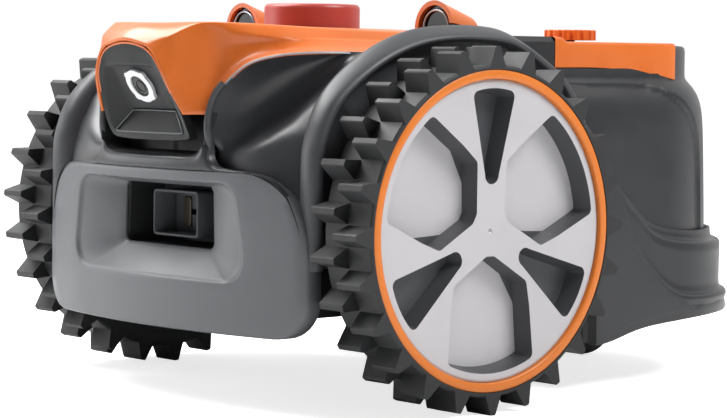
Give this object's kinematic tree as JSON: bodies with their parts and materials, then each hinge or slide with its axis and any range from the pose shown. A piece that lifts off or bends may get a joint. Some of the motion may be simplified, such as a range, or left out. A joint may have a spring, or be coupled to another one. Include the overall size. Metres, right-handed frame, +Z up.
{
  "type": "robotic lawn mower",
  "caption": "Robotic lawn mower with large cleated drive wheels, a camera hood on the nose, stop button, control panel, rear caster and an adjustable cutting disc under a hollow body.",
  "frame": {"origin": "on the ground, under the middle of the length and of the width", "axes": "+X to the mower's left, -Y to the nose with the camera, +Z up"},
  "size_m": [0.422, 0.5278, 0.289],
  "materials": {
    "orange_plastic": "satin moulded plastic",
    "dark_plastic": "fine textured moulded plastic",
    "grey_plastic": "satin moulded plastic",
    "black_plastic": "matt moulded plastic",
    "silver_plastic": "silver painted plastic",
    "hub_plastic": "matt moulded plastic",
    "tyre_rubber": "matt rubber",
    "red_plastic": "satin moulded plastic",
    "key_plastic": "matt moulded plastic",
    "lens_clear": "clear",
    "white_plastic": "satin moulded plastic",
    "display_glass": "polished dark window",
    "steel": "brushed",
    "contact_brass": "bright",
    "motor_case": "satin",
    "battery_case": "matt moulded plastic",
    "circuit_board": "lacquered board"
  },
  "bodies": {
    "body": {"axle_bearings": "steel", "battery_hatch": "black_plastic", "battery_pack": "battery_case", "bridge": "black_plastic", "camera_lens": "lens_clear", "camera_module": "black_plastic", "camera_visor": "grey_plastic", "charge_contacts": "contact_brass", "chassis_tray": "black_plastic", "control_board": "circuit_board", "control_panel": "black_plastic", "deck_screws": "steel", "display_window": "display_glass", "dock_socket": "black_plastic", "front_panel": "grey_plastic", "front_shell": "dark_plastic", "lamp_lenses": "lens_clear", "left_fender": "dark_plastic", "left_gear_motor": "motor_case", "left_lamp_pod": "orange_plastic", "lens_ring": "white_plastic", "main_board": "circuit_board", "rear_cover": "orange_plastic", "rear_shell": "dark_plastic", "rear_skirt": "dark_plastic", "right_fender": "dark_plastic", "right_gear_motor": "motor_case", "right_lamp_pod": "orange_plastic", "stop_switch": "black_plastic", "top_cover": "orange_plastic"},
    "left_wheel": {"left_tyre": "tyre_rubber", "left_rim_ring": "orange_plastic", "left_wheel_hub": "hub_plastic", "left_hub_cap": "silver_plastic", "left_axle": "steel"},
    "right_wheel": {"right_tyre": "tyre_rubber", "right_rim_ring": "orange_plastic", "right_wheel_hub": "hub_plastic", "right_hub_cap": "silver_plastic", "right_axle": "steel"},
    "caster_swivel_body": {"caster_fork": "black_plastic", "caster_pin": "steel"},
    "caster_wheel_body": {"caster_wheel": "tyre_rubber"},
    "stop_button_body": {"stop_button": "red_plastic"},
    "start_key_body": {"start_key": "key_plastic"},
    "home_key_body": {"home_key": "key_plastic"},
    "ok_key_body": {"ok_key": "key_plastic"},
    "back_key_body": {"back_key": "key_plastic"},
    "height_knob_body": {"height_knob": "orange_plastic", "knob_stem": "black_plastic"},
    "cutting_unit": {"cutting_carrier": "black_plastic", "blade_motor": "motor_case"},
    "blade_disc_body": {"blade_disc": "steel", "disc_shaft": "steel", "blade_screws": "steel"},
    "blade_1_body": {"blade_1": "steel"},
    "blade_2_body": {"blade_2": "steel"},
    "blade_3_body": {"blade_3": "steel"}
  },
  "joints": [
    {"name": "left_wheel_spin", "type": "hinge", "parent": "body", "child": "left_wheel", "pos_m": [0.16, -0.099, 0.128], "axis": [1, 0, 0], "continuous": true},
    {"name": "right_wheel_spin", "type": "hinge", "parent": "body", "child": "right_wheel", "pos_m": [-0.16, -0.099, 0.128], "axis": [1, 0, 0], "continuous": true},
    {"name": "caster_swivel", "type": "hinge", "parent": "body", "child": "caster_swivel_body", "pos_m": [0, 0.185, 0.07], "axis": [0, 0, 1], "continuous": true},
    {"name": "caster_roll", "type": "hinge", "parent": "caster_swivel_body", "child": "caster_wheel_body", "pos_m": [0, 0.21, 0.029], "axis": [1, 0, 0], "continuous": true},
    {"name": "stop_press", "type": "slide", "parent": "body", "child": "stop_button_body", "axis": [0, 0, -1], "range_m": [0, 0.004], "stiffness_N_per_m": 900},
    {"name": "start_press", "type": "slide", "parent": "body", "child": "start_key_body", "axis": [0, 0, -1], "range_m": [0, 0.0015], "stiffness_N_per_m": 600},
    {"name": "home_press", "type": "slide", "parent": "body", "child": "home_key_body", "axis": [0, 0, -1], "range_m": [0, 0.0015], "stiffness_N_per_m": 600},
    {"name": "ok_press", "type": "slide", "parent": "body", "child": "ok_key_body", "axis": [0, 0, -1], "range_m": [0, 0.0015], "stiffness_N_per_m": 600},
    {"name": "back_press", "type": "slide", "parent": "body", "child": "back_key_body", "axis": [0, 0, -1], "range_m": [0, 0.0015], "stiffness_N_per_m": 600},
    {"name": "cutting_height", "type": "slide", "parent": "body", "child": "cutting_unit", "axis": [0, 0, -1], "range_m": [0, 0.03]},
    {"name": "height_turn", "type": "hinge", "parent": "body", "child": "height_knob_body", "pos_m": [0, 0.19, 0.262], "axis": [0, 0, 1], "range_deg": [-1, 271]},
    {"name": "disc_spin", "type": "hinge", "parent": "cutting_unit", "child": "blade_disc_body", "pos_m": [0, 0.033, 0.0615], "axis": [0, 0, 1], "continuous": true},
    {"name": "blade_1_swing", "type": "hinge", "parent": "blade_disc_body", "child": "blade_1_body", "pos_m": [0.06, 0.033, 0.0593], "axis": [0, 0, 1], "continuous": true},
    {"name": "blade_2_swing", "type": "hinge", "parent": "blade_disc_body", "child": "blade_2_body", "pos_m": [-0.03, 0.08496, 0.0593], "axis": [0, 0, 1], "continuous": true},
    {"name": "blade_3_swing", "type": "hinge", "parent": "blade_disc_body", "child": "blade_3_body", "pos_m": [-0.03, -0.01896, 0.0593], "axis": [0, 0, 1], "continuous": true}
  ],
  "couplings": [
    {"joint": "height_turn", "follows": "cutting_height", "rad_per_m": 157.08}
  ]
}
